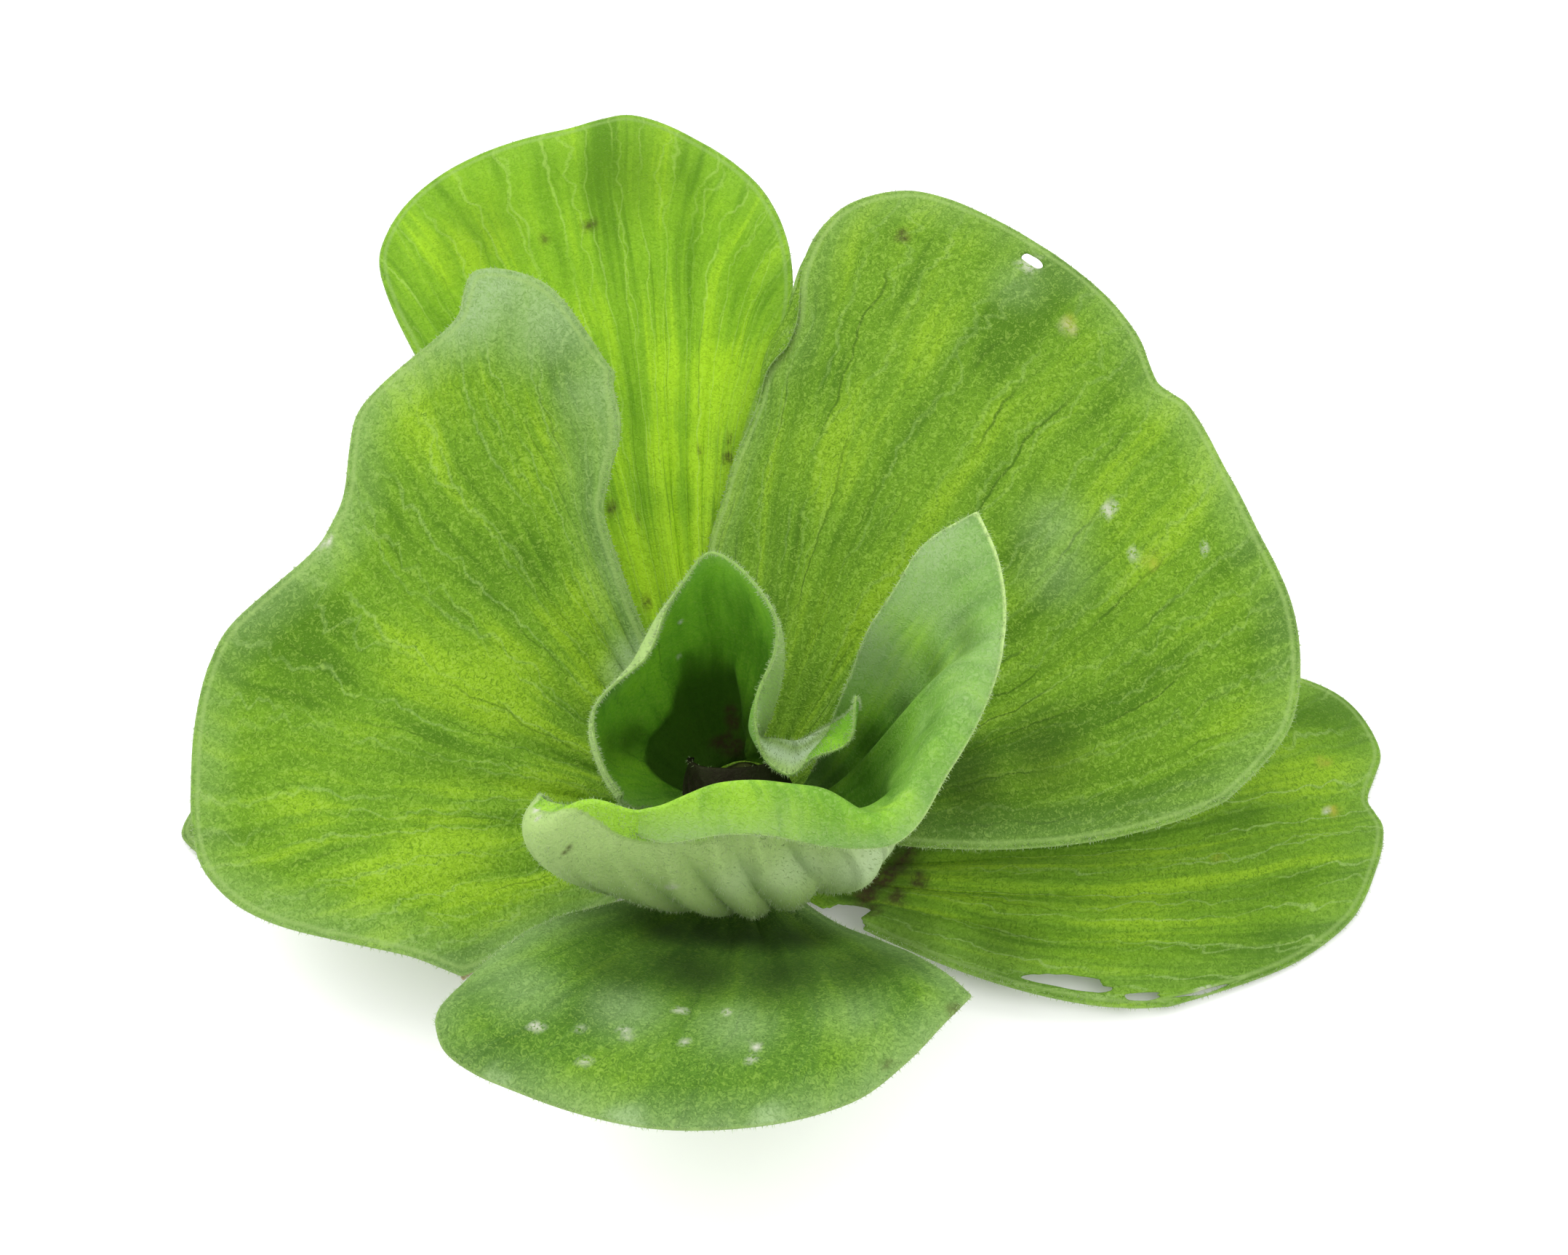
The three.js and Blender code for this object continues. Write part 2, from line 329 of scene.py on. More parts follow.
class LeafNodes(Nodes):
    """The nodes of a leaf's skin, with the places, paints and colours that its layers share."""

    def __init__(self, name, settings, look, seed):
        super().__init__(name)
        self.settings, self.look, self.seed = settings, look, seed
        self.green, self.deep, self.bright = (
            scaled(getattr(settings, key), look["tone"]) for key in ("green", "deep", "bright"))
        self.place = self.add("TexCoord", out="Object")
        self.ribs = self.add("UVMap", uv_map="Ribs")
        self.along = self.add("SeparateXYZ", inputs={0: self.ribs}, out=1)
        self.paint = {
            key: self.add("Attribute", out="Fac", attribute_name=key) for key in ("edge", *PAINTS)}
        self.patch = self.noise(self.place, 70.0, 2.0, 0.5)
        # the ribs' own coordinates, made to wander a little
        bend = self.noise(self.stretch(self.ribs, (5, 3, 1), (seed, 0, 0)), 1.0, 1.0, out=1)
        self.drift = self.add(
            "VectorMath", operation="MULTIPLY_ADD", inputs={0: bend, 1: (0.06, 0.0, 0), 2: self.ribs})
        self.across = self.add("SeparateXYZ", inputs={0: self.drift})


def streaks(g):
    """Light and dark streaks along the ribs: broad soft ones, and finer ones over them."""
    count, seed = g.look["streaks"], g.seed
    broad = g.noise(g.stretch(g.drift, (count, 1.3, 1), (seed * 1.7, 0, 0)), 1.0, 1.0, 0.5)
    fine = g.noise(g.stretch(g.drift, (count * 4.5, 3.0, 1), (seed * 2.3, 5, 0)), 1.0, 2.0, 0.6)
    streak = g.maths("MULTIPLY_ADD", fine, 0.42, g.times(broad, 0.58))
    streak = g.maths("ADD", streak, g.span(g.patch, 0.3, 0.7, -0.07, 0.07))
    # the glow marks are painted light: the blade made brighter where light falls on it
    streak = g.maths("ADD", streak, g.times(g.paint["glow"], 0.22))
    colour = g.mix(g.ease(streak, 0.36, 0.52), g.deep, g.green)
    return g.mix(g.ease(streak, 0.50, 0.70, 0.0, g.look["brightness"]), colour, g.bright)


def lane(g, count, sway, waves):
    """How far it is to the nearest of `count` lines along the ribs, which sway and meet."""
    wave = g.noise(g.stretch(g.ribs, (waves * 0.7, 14, 1), (0, g.seed + waves, 0)), 1.0, 2.0, 0.6)
    place = g.maths("MULTIPLY_ADD", g.across, count, g.times(wave, sway))
    return g.maths("PINGPONG", place, 0.5)


def broken(g, stretch, shift, *span):
    """Where a line shows and where it fades out."""
    return g.span(g.noise(g.stretch(g.ribs, stretch, shift), 1.0, 1.0), *span)


def veins(g):
    """Pale veins along the ribs, a fuller set and a finer one."""
    share, vein = g.look["vein_share"], 0.0
    for count, wide, reach in ((g.look["veins"], 0.036, 1.0), (g.look["veins"] * 0.63, 0.024, 0.8)):
        seen = broken(g, (count, 5, 1), (count, 0, 0), 0.38, 0.55, 0.15, reach)
        line = g.ease(lane(g, count, 0.85, count), wide * 0.4, wide * 1.6, 1.0, 0.0)
        vein = g.maths("MAXIMUM", vein, g.times(line, seen))
    return g.times(vein, g.span(g.along, 0.02, 0.4, share * 0.35, share))


def painted_crease_shade(g):
    """Painted shade in the creases between the ribs, gone near the margin."""
    count = g.look["veins"]
    seen = broken(g, (count, 4, 1), (3, g.seed, 0), 0.48, 0.62)
    line = g.span(lane(g, count * 1.45, 0.7, count * 0.63), 0.015, 0.06, g.look["crease_shade"], 0.0)
    return g.times(g.times(line, seen), g.span(g.along, 0.75, 0.95, 1.0, 0.0))


def napped(g, colour, nap):
    """The nap's pale ridges of hair, and the green hollows between them."""
    ridge = scaled(g.settings.margin, (1.0, 1.03, g.look["nap_blue"]))
    colour = g.mix(g.ease(nap, 0.50, 0.68, 0.0, g.look["nap_share"]), colour, ridge)
    hollow = g.span(nap, 0.56, 0.28, 0.0, g.look["hollow_share"])
    return g.mix(hollow, colour, scaled(g.deep, 0.85))


def margined(g, colour, nap):
    """A pale haze near the margin, thicker nap with painted backlight on its hairs, the pale line just
    inside it, and its rim.
    """
    look, edge, margin = g.look, g.paint["edge"], g.settings.margin
    cloud = g.span(g.patch, 0.3, 0.62, 0.35, 1.0)
    mist = g.times(g.span(edge, 0.0, look["haze_width"], look["haze_share"], 0.0), cloud)
    # the haze marks: pale nap, and painted light where a fold or a slanting nap catches it
    mist = g.maths("ADD", mist, g.times(g.paint["haze_and_light"], 0.85), clamp=True)
    mist = g.times(mist, g.span(nap, 0.3, 0.6, 0.5, 1.0))
    colour = g.mix(mist, colour, g.settings.haze_and_light)
    line = ridge_between(g, edge, 0.35, 0.75, 0.75, 1.15)
    colour = g.mix(g.times(line, look["line_share"]), colour, margin)
    rim = g.ease(edge, 0.0, 0.42, look["rim_share"], 0.0)
    return g.mix(rim, colour, scaled(margin, look["rim"]))


def ridge_between(g, value, rise, top, edge, end):
    """A smooth band: up from `rise` to `top`, and down from `edge` to `end`."""
    return g.times(g.ease(value, rise, top), g.ease(value, edge, end, 1.0, 0.0))


def downy(g, colour, upper_colour, vein):
    """The down underneath, paler on its ribs; past the lip it looks like the upper side."""
    down = scaled(g.settings.underside, g.look["down"])
    thick = g.span(g.noise(g.place, 1500.0, 3.0, 0.65, 0.8), 0.3, 0.7, 0.80, 1.0)
    colour = g.mix(thick, colour, down)
    fold = g.maths("PINGPONG", g.times(g.across, g.look["folds"] * 2.0), 0.5)
    rib = g.ease(fold, 0.0, 0.32, 1.0, 0.0)
    rib = g.times(rib, g.span(g.along, 0.5, 0.95, 1.0, 0.1))
    colour = g.mix(g.times(rib, g.look["ribs"]), colour, scaled(down, 1.3))
    vein = g.maths("MULTIPLY_ADD", rib, 9.0, vein)
    # painted shade: the underside darker towards its seat
    colour = g.mix(g.ease(g.along, 0.0, 0.35, 0.4, 0.0), colour, scaled(down, 0.7))
    # the haze marks underneath: whiter down, and painted light
    colour = g.mix(g.paint["haze_and_light"], colour, scaled(down, (1.5, 1.3, 2.6)))
    lip = g.paint["lip"]
    colour = g.mix(g.ease(lip, 0.45, 0.7), colour, upper_colour)
    line = ridge_between(g, lip, 0.15, 0.4, 0.6, 0.85)
    colour = g.mix(g.times(line, 0.8), colour, g.settings.margin)
    return colour, vein


def aged(g, colour, under):
    """Shade, age, healed scars and decay."""
    paint = g.paint
    shade = g.times(paint["shade"], g.look["shade_under"]) if under else paint["shade"]
    # painted shade: the shade marks, and the deep paint inside a hollow
    colour = g.mix(g.maths("MAXIMUM", shade, paint["deep"]), colour, scaled(g.deep, 0.28))
    rough = g.noise(g.place, 2000.0, 2.0, 0.7)
    for key, low, high, least, what in (
            ("yellow", 0.3, 0.6, 0.5, AGED_YELLOW), ("scar", 0.36, 0.50, 0.0, g.settings.scar),
            ("decay", 0.34, 0.56, 0.4, g.settings.decay)):
        colour = g.mix(g.times(paint[key], g.span(rough, low, high, least, 1.0)), colour, what)
    # mixed towards near black; on the bud, down in the heart's hollow, this is its decay together with
    # painted shade
    return g.mix(g.look["decay_and_shade"], colour, scaled(g.settings.decay, 0.2))


def leaf_material(name, settings, look, seed, under=False):
    """A leaf's skin: streaked along its ribs, lined with veins, and covered in a fine nap."""
    g = LeafNodes(name, settings, look, seed)
    vein = veins(g)
    colour = g.mix(vein, streaks(g), scaled(settings.margin, look["tone"]))
    # painted shade in the creases
    colour = g.mix(painted_crease_shade(g), colour, scaled(g.deep, 0.6))
    nap = g.noise(g.place, 1.0 / settings.tuft, 2.0, 0.55, 1.6)
    upper_colour = napped(g, colour, nap)
    colour = margined(g, upper_colour, nap)
    if under:
        colour, vein = downy(g, colour, upper_colour, vein)
    colour = aged(g, colour, under)
    height = g.maths("ADD", nap, g.times(vein, 0.35))
    bump = g.add("Bump", inputs={"Height": height, "Strength": 1.0, "Distance": settings.nap_relief})
    leaf = g.add("BsdfPrincipled", inputs={
        "Base Color": colour, "Roughness": 0.72, "Specular IOR Level": 0.16, "Normal": bump,
        "Sheen Weight": look["sheen"], "Sheen Roughness": 0.5, "Sheen Tint": (0.75, 1.0, 0.6, 1.0)})
    glow = g.add("BsdfTranslucent", inputs={"Color": g.mix(0.4, colour, g.bright), "Normal": bump})
    return g.surface(g.add("MixShader", inputs={0: look["thin"], 1: leaf, 2: glow}))


def plain_material(name, colour, dark, scale, roughness=0.8, thin=0.0, relief=0.0002):
    """A dull mottled surface, between two colours."""
    g = Nodes(name)
    place = g.add("TexCoord", out="Object")
    mottle = g.noise(place, scale, 4.0, 0.6)
    shade = g.mix(g.ease(mottle, 0.35, 0.65), dark, colour)
    bump = g.add("Bump", inputs={"Height": mottle, "Strength": 0.8, "Distance": relief})
    shader = g.add("BsdfPrincipled", inputs={
        "Base Color": shade, "Roughness": roughness, "Specular IOR Level": 0.2, "Normal": bump})
    if thin:
        glow = g.add("BsdfTranslucent", inputs={"Color": shade})
        shader = g.add("MixShader", inputs={0: thin, 1: shader, 2: glow})
    return g.surface(shader)


# ---- Modelling helpers ----


def deselect():
    if bpy.context.object and bpy.context.object.mode != "OBJECT":
        bpy.ops.object.mode_set(mode="OBJECT")
    bpy.ops.object.select_all(action="DESELECT")


def named(name):
    piece = bpy.context.object
    piece.name = name
    piece.data.name = name
    return piece


def apply_modifiers(piece):
    deselect()
    piece.select_set(True)
    bpy.context.view_layer.objects.active = piece
    for modifier in list(piece.modifiers):
        bpy.ops.object.modifier_apply(modifier=modifier.name)


def smooth(piece):
    deselect()
    piece.select_set(True)
    bpy.context.view_layer.objects.active = piece
    bpy.ops.object.shade_smooth()


def finish_piece(piece, slot, *nodes):
    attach(piece, "root")
    if nodes:
        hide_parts(*nodes)
    return piece


def store(piece, name, values):
    """Keeps one number per point on the piece, under a name its materials read."""
    layer = piece.data.attributes.new(name, "FLOAT", "POINT")
    layer.data.foreach_set("value", np.asarray(values, np.float32))


def wander(places, scale, seed):
    """Smooth noise between -1 and 1 at each place."""
    return np.array([noise.noise(Vector(p) * scale + Vector((seed, 0, 0))) for p in places])


# ---- Leaves ----

# What marks can paint on a leaf, each a point attribute that its materials read.
# glow paints light and shade paints shade; haze paints pale nap and light; scar, yellow and decay are the
# leaf's own marks
MARKS = ("glow", "shade", "haze_and_light", "scar", "yellow", "decay")
# Those, and the two that follow a line across the leaf: lip, and deep, the painted shade inside a hollow.
PAINTS = (*MARKS, "lip", "deep")

# What a leaf looks like, unless it says otherwise.
FULL_LOOK = dict(
    tone=1.0, streaks=11, brightness=0.9, veins=15, vein_share=0.25, nap_share=0.42, hollow_share=0.75,
    haze_width=5.0, haze_share=0.5, line_share=0.5, rim_share=0.5, sheen=0.04, thin=0.25, decay_and_shade=0.0,
    down=1.0, rim=1.0, nap_blue=0.55, ribs=0.45, crease_shade=0.5, shade_under=0.2)

# Each leaf. Places are (across, along) its ribs, each from 0 to 1, and lengths are in millimetres.
#   slot; across and along, the grid's points; hairs, how many on the margin and on the underside
#   folds, how many soft pleats run along it, with their depth; swell, the depth of its slow unevenness
#   look, what differs from FULL_LOOK
#   holes: place, half width, half length
#   pleats, single folds: across, half width, depth
#   calm, where nothing disturbs a curled margin: up to across, from along, to along
#   steps, where the blade climbs and drops again: across, width of the climb, width of the drop, height
#   moved, parts moved off the ribs: place, radius, way
#   lip, the line past which a rolled underside looks like the upper side: places
#   hollow, the edge of a hollow whose inside is painted in shade: place, softness
#   each of MARKS: place, radius, strength
LEAVES = {
    "leaf_old_left": dict(
        slot="old_leaf", across=60, along=44, folds=6, fold_depth=0.5, swell=0.4, hairs=(900, 0),
        look=dict(tone=0.8)),
    "leaf_old_right": dict(
        slot="old_leaf", across=100, along=72, folds=7, fold_depth=0.7, swell=0.5, hairs=(1600, 0),
        look=dict(tone=1.2, vein_share=0.5, haze_share=0.2, nap_share=0.22, thin=0.3, veins=13),
        holes=((0, 0.165, 0.11, 0.05), (0.045, 0.655, 0.016, 0.085), (0.032, 0.835, 0.01, 0.035),
            (0.05, 0.955, 0.012, 0.014)),
        glow=((0.56, 0.85, 11, 0.7), (0.34, 0.575, 8, 0.4), (0.62, 0.6, 8, 0.5)),
        shade=((0.455, 0.16, 5, 0.8), (0.3, 0.12, 6, 0.8), (0.12, 0.45, 7, 0.35), (0.05, 0.3, 7, 0.4)),
        scar=((0.49, 0.905, 0.5, 0.8), (0.05, 0.94, 0.8, 0.9)),
        yellow=((0.49, 0.917, 0.9, 1), (0.61, 0.883, 0.8, 1), (0.4, 0.7, 0.7, 0.8)),
        decay=((0.53, 0.178, 1.1, 1), (0.48, 0.172, 1.2, 1), (0.425, 0.167, 1.3, 1), (0.37, 0.158, 1.3, 1),
            (0.32, 0.15, 1.6, 1), (0.27, 0.148, 1.5, 1), (0.22, 0.15, 1.4, 1), (0.17, 0.158, 1.2, 1),
            (0.36, 0.21, 1.2, 0.9), (0.24, 0.2, 1.3, 0.9), (0.12, 0.2, 1, 0.8))),
    "leaf_back": dict(
        slot="leaf", across=96, along=66, folds=8, fold_depth=0.7, swell=0.5, hairs=(1400, 0),
        look=dict(tone=(1.6, 1.54, 1.2), vein_share=0.34, nap_share=0.2, hollow_share=0.5, haze_share=0.1,
            thin=0.36, veins=19, brightness=1),
        glow=((0.28, 0.6, 11, 0.9), (0.52, 0.308, 11, 0.9), (0.4, 0.45, 10, 0.8), (0.75, 0.6, 9, 0.5),
            (0.32, 0.72, 7, 0.5), (0.14, 0.55, 7, 0.8), (0.3, 0.3, 8, 0.7)),
        shade=((0.5, 0.88, 11, 0.36), (0.75, 0.86, 9, 0.28)),
        decay=((0.595, 0.808, 0.9, 1), (0.665, 0.8, 0.5, 1), (0.685, 0.4, 1, 1), (0.125, 0.6, 0.8, 1),
            (0.13, 0.63, 0.6, 1), (0.285, 0.508, 0.5, 1), (0.68, 0.34, 0.5, 1), (0.605, 0.36, 0.6, 1),
            (0.66, 0.26, 0.7, 0.8))),
    "leaf_front": dict(
        slot="old_leaf", across=84, along=56, folds=5, fold_depth=0.45, swell=0.7, hairs=(1600, 0),
        look=dict(tone=(0.74, 0.82, 1.4), vein_share=0.05, haze_share=0.55, haze_width=4, nap_share=0.35,
            line_share=0.1, brightness=0.8, streaks=7),
        glow=((0.4, 0.9, 6, 0.7), (0.6, 0.9, 6, 0.7), (0.78, 0.92, 5, 0.6), (0.22, 0.95, 5, 0.6)),
        shade=((0.39, 0.3, 6.5, 0.88), (0.25, 0.35, 7, 0.85), (0.55, 0.3, 7, 0.88), (0.42, 0.52, 9, 0.85),
            (0.7, 0.35, 8, 0.85), (0.62, 0.55, 9, 0.75), (0.8, 0.62, 8, 0.6), (0.28, 0.6, 7, 0.5)),
        haze_and_light=((0.375, 0.72, 6, 0.65), (0.55, 0.73, 6, 0.6), (0.2, 0.8, 6, 0.55), (0.75, 0.78, 6, 0.4),
            (0.5, 1, 2.5, 0.8), (0.65, 1, 2.5, 0.8), (0.35, 1, 2, 0.6)),
        scar=((0.3, 0.858, 0.75, 1), (0.36, 0.817, 0.45, 1), (0.41, 0.792, 0.7, 1), (0.445, 0.675, 0.6, 1),
            (0.525, 0.683, 0.7, 1), (0.49, 0.792, 0.45, 1), (0.47, 0.833, 0.5, 0.8), (0.405, 0.9, 0.6, 0.8),
            (0.595, 0.8, 0.6, 1), (0.6, 0.84, 0.5, 0.9)),
        decay=((0.79, 0.97, 0.8, 0.8), (0.93, 0.99, 1.2, 0.6))),
    "leaf_right": dict(
        slot="leaf", across=116, along=70, folds=10, fold_depth=0.8, swell=0.7, hairs=(2400, 0),
        look=dict(haze_share=0.32, streaks=13, brightness=0.78, tone=1.05, crease_shade=0.85),
        holes=((0.665, 0.953, 0.008, 0.009),),
        moved=((1, 0.8, 8.5, (2.2, 0, 0)), (1, 0.62, 8, (1.35, 0, 0)), (0.985, 1, 7, (1.2, 0, 0))),
        lip=((0, 1.5), (0.88, 1.5), (0.92, 0.5), (1, 0.3)),
        glow=((0.765, 0.517, 12, 0.8), (0.7, 0.7, 9, 0.5), (0.595, 0.85, 9, 0.35), (0.35, 0.717, 9, 0.5),
            (0.425, 0.73, 8, 0.5), (0.51, 0.45, 7, 0.45)),
        shade=((0.155, 0.34, 8, 0.72), (0.13, 0.22, 7, 0.75), (0.16, 0.48, 8, 0.5), (0.2, 0.12, 5, 0.5)),
        haze_and_light=((0.45, 0.62, 6, 0.45), (0.4, 0.58, 6, 0.4), (0.66, 0.89, 5, 0.35)),
        scar=((0.41, 0.717, 1, 0.8), (0.35, 0.717, 0.8, 0.7), (0.665, 0.945, 1.3, 0.7),
            (0.6, 0.88, 0.9, 0.5), (0.3, 0.86, 0.5, 0.7)),
        yellow=((0.6, 0.885, 1.2, 0.8), (0.33, 0.74, 1, 0.7)),
        decay=((0.78, 0.892, 0.8, 1), (0.34, 0.75, 0.5, 0.8))),
    "leaf_left": dict(
        slot="leaf", across=110, along=70, folds=9, fold_depth=0.9, swell=0.6, hairs=(2400, 0),
        look=dict(tone=1.13, haze_share=0.6, haze_width=5, streaks=12, veins=16, brightness=1,
            vein_share=0.35),
        moved=((0, 0.8, 6, (2.6, 0, 0)), (0, 0.66, 6, (1.8, 0, 0))),
        glow=((0.485, 0.433, 10, 0.7), (0.82, 0.592, 11, 1), (0.65, 0.292, 8, 0.7), (0.9, 0.9, 7, 0.7),
            (0.56, 0.62, 9, 0.5), (0.7, 0.75, 8, 0.5), (0.3, 0.25, 7, 0.9), (0.265, 0.36, 6, 0.9)),
        haze_and_light=((0.185, 0.933, 9, 1), (0.045, 0.8, 5, 0.4), (0.12, 0.88, 8, 0.8), (0.25, 0.235, 3.2, 1),
            (0.17, 0.235, 3.2, 1)),
        scar=((0.485, 0.975, 0.6, 1),)),
    "leaf_cup": dict(
        slot="young_leaf", across=150, along=74, folds=8, fold_depth=0.4, swell=0.2, hairs=(3200, 9000),
        look=dict(tone=(1.3, 1.4, 2.6), vein_share=0.04, haze_share=0.7, nap_share=0.4, haze_width=4,
            streaks=10, line_share=0, rim_share=1, hollow_share=0.4, brightness=1, down=1.12,
            rim=(1.65, 1.5, 1.9), nap_blue=1, ribs=0.1, crease_shade=0, shade_under=0.4),
        pleats=((0.225, 0.034, 0.6), (0.292, 0.034, 1), (0.362, 0.034, 1.2), (0.432, 0.037, 1.3),
            (0.525, 0.055, 0.8)),
        calm=((0.6, 0.5, 0.66),),
        steps=((0.79, 0.14, 0.022, 2.2),),
        moved=((1, 0.9, 10, (-1.3, 0.5, 0.2)), (1, 0.7, 8, (-0.6, 0.1, 0)), (0.19, 0.88, 5, (0, 0.9, 1.6)),
            (0, 1, 4, (0, -0.6, -1.4)), (0.58, 0.35, 10, (3.4, -0.6, -0.6)),
            (0.6, 0.78, 6.5, (-0.3, -1.2, -2.4))),
        lip=((0, 1.5), (0.07, 1.1), (0.085, 0.93), (0.11, 0.935), (0.13, 0.925), (0.16, 0.885),
            (0.18, 0.83), (0.2, 0.735), (0.22, 0.675), (0.25, 0.62), (0.29, 0.59), (0.33, 0.56),
            (0.38, 0.56), (0.42, 1.5)),
        glow=((0.76, 0.8, 4, 0.3), (0.75, 0.6, 4, 0.3), (0.74, 0.4, 4, 0.3), (0.2, 0.93, 7, 1),
            (0.3, 0.94, 7, 1), (0.4, 0.94, 7, 1), (0.5, 0.94, 7, 1), (0.12, 0.95, 6, 0.5),
            (0.3, 0.72, 6, 0.9), (0.22, 0.8, 6, 0.5)),
        shade=((0.83, 0.35, 5, 0.6), (0.9, 0.2, 6, 0.55), (0.93, 0.6, 9, 0.25), (0.85, 0.65, 4, 0.5),
            (0.84, 0.8, 4, 0.4), (0.84, 0.5, 4, 0.55), (0.1, 0.45, 5, 0.3), (0.17, 0.36, 5, 0.3)),
        haze_and_light=((0.38, 0.42, 5, 0.22), (0.46, 0.42, 5, 0.3), (0.56, 0.4, 6, 0.45), (0.74, 0.85, 4, 0.35),
            (0.73, 0.65, 4, 0.35), (0.92, 0.8, 8, 0.8), (0.94, 0.6, 8, 0.7), (0.97, 0.9, 8, 0.7),
            (0.82, 0.75, 8, 0.5), (0.8, 0.95, 5, 0.4), (0.3, 0.95, 4, 0.25), (0.45, 0.95, 4, 0.25)),
        scar=((0.27, 0.45, 0.7, 0.7), (0.1, 0.93, 0.35, 1), (0.12, 0.89, 0.3, 1)),
        decay=((0.165, 0.66, 0.35, 1), (0.172, 0.67, 0.35, 1), (0.43, 0.358, 0.3, 1))),
    "leaf_heart": dict(
        slot="young_leaf", across=150, along=56, folds=6, fold_depth=0.3, swell=0.15, hairs=(3600, 5000),
        look=dict(tone=(1.35, 1.6, 1.8), vein_share=0.03, haze_share=0.3, nap_share=0.28, haze_width=3,
            streaks=9, line_share=0, rim_share=0.8, hollow_share=0.4, brightness=0.5, down=1.3),
        moved=((0.05, 1, 4.5, (1.3, -1.2, -0.3)),),
        lip=((0, 0.5), (0.06, 0.72), (0.11, 0.9), (0.14, 1.5)),
        hollow=((0.2, 0, 0.06), (0.3, 0.03, 0.06), (0.485, 0.225, 0.06), (0.525, 0.36, 0.08),
            (0.54, 0.43, 0.12), (0.605, 0.48, 0.25), (0.64, 0.5, 0.25), (0.67, 0.44, 0.1),
            (0.7, 0.37, 0.06), (0.74, 0.36, 0.05), (0.78, 0.37, 0.05), (0.83, 0.33, 0.08),
            (0.91, 0.12, 0.1), (1, 0, 0.1)),
        glow=((0.68, 0.75, 4, 0.6), (0.66, 0.6, 3.5, 0.6), (0.75, 0.7, 4, 0.4)),
        shade=((0.65, 0.12, 6, 0.8), (0.5, 0.2, 7, 0.8), (0.35, 0.25, 6, 0.6), (0.81, 0.45, 4, 0.75),
            (0.84, 0.55, 4, 0.6)),
        haze_and_light=((0.78, 0.85, 4, 0.3), (0.2, 0.75, 4, 1), (0.13, 0.8, 4, 1), (0.27, 0.8, 4, 0.9),
            (0.1, 0.5, 4, 1)),
        scar=((0.64, 0.7, 0.35, 1), (0.655, 0.533, 0.3, 1), (0.67, 0.8, 0.4, 0.9)),
        decay=((0.53, 0.18, 1.3, 1), (0.55, 0.23, 0.9, 1), (0.56, 0.1, 1.6, 1), (0.48, 0.08, 1.6, 1))),
    # the bud, at the bottom of the heart's hollow: its low tone and its near black mix are painted shade,
    # with decay
    "leaf_bud": dict(
        slot="young_leaf", across=50, along=32, folds=4, fold_depth=0.15, swell=0.1, hairs=(60, 0),
        look=dict(tone=0.3, vein_share=0, haze_share=0, rim_share=0, line_share=0, nap_share=0.05,
            decay_and_shade=0.95, thin=0.05, sheen=0),
        decay=((0.5, 0.9, 4, 0.9), (0.2, 0.8, 3, 0.8), (0.8, 0.6, 3, 0.8))),
}


# How much thinner than its solid a blade is, and its least thickness, in millimetres.
SLIMMER, THINNEST = 0.45, 0.32


def painted(sheet, spot, marks, seed):
    """How strongly each point is painted, from marks given as (across, along, radius, strength)."""
    amount = np.zeros(len(spot))
    for across, along, radius, strength in marks:
        centre = sheet.place(np.array([across]), np.array([along]))[0]
        near = np.linalg.norm(spot - centre, axis=1) / MM / radius
        reached = near < 2
        if radius < 3:
            near[reached] *= 1 + 0.5 * wander(spot[reached], 900.0, seed + across * 31)
        fall = np.clip(1 - near, 0, 1) if radius > 3 else np.clip(1.5 - 1.5 * near, 0, 1)
        amount = np.maximum(amount, strength * fall * fall * (3 - 2 * fall))
    return amount


def margin_gap(sheet, spot):
    """Each point's distance from the leaf's margin, in millimetres."""
    side, turn = np.linspace(0.2, 1, 80), np.linspace(0, 1, 300)
    across = np.concatenate([side * 0, turn, side * 0 + 1])
    rim = sheet.place(across, np.concatenate([side, turn * 0 + 1, side]))
    gap = np.full(len(spot), 1.0)
    for part in np.array_split(rim, 8):
        gap = np.minimum(gap, np.linalg.norm(spot[:, None] - part[None], axis=2).min(axis=1))
    return gap / MM


def past_hollow(style, u, v):
    """0 down in a folded leaf's hollow, and 1 past the edge of it."""
    if "hollow" not in style:
        return np.ones(len(u))
    across, along, soft = np.array(style["hollow"]).T
    t = np.clip(0.5 + (v + 0.02 - np.interp(u, across, along)) / np.interp(u, across, soft), 0, 1)
    return t * t * (3 - 2 * t)


def pleated(style, u, v, bend):
    """How strongly each place is on a single pleat, from 0 to 1, times the pleat's depth."""
    along = np.clip(v / 0.10, 0, 1) * np.clip((0.63 - v) / 0.22, 0, 1) ** 0.8
    slant = u + 0.16 * (v - 0.35) + 0.012 * bend
    rise = np.zeros(len(u))
    for across, half_width, depth in style.get("pleats", ()):
        rise += depth * np.cos(np.pi / 2 * np.clip((slant - across) / half_width, -1, 1)) * along
    return rise


def moved(style, sheet, spot):
    """How far each place is moved off the ribs, to bring an outline or a roll into shape."""
    shift = np.zeros_like(spot)
    for across, along, radius, way in style.get("moved", ()):
        centre = sheet.place(np.array([across]), np.array([along]))[0]
        near = np.clip(1 - np.linalg.norm(spot - centre, axis=1) / MM / radius, 0, 1)
        shift += (near * near * (3 - 2 * near))[:, None] * np.array(way) * MM
    return shift


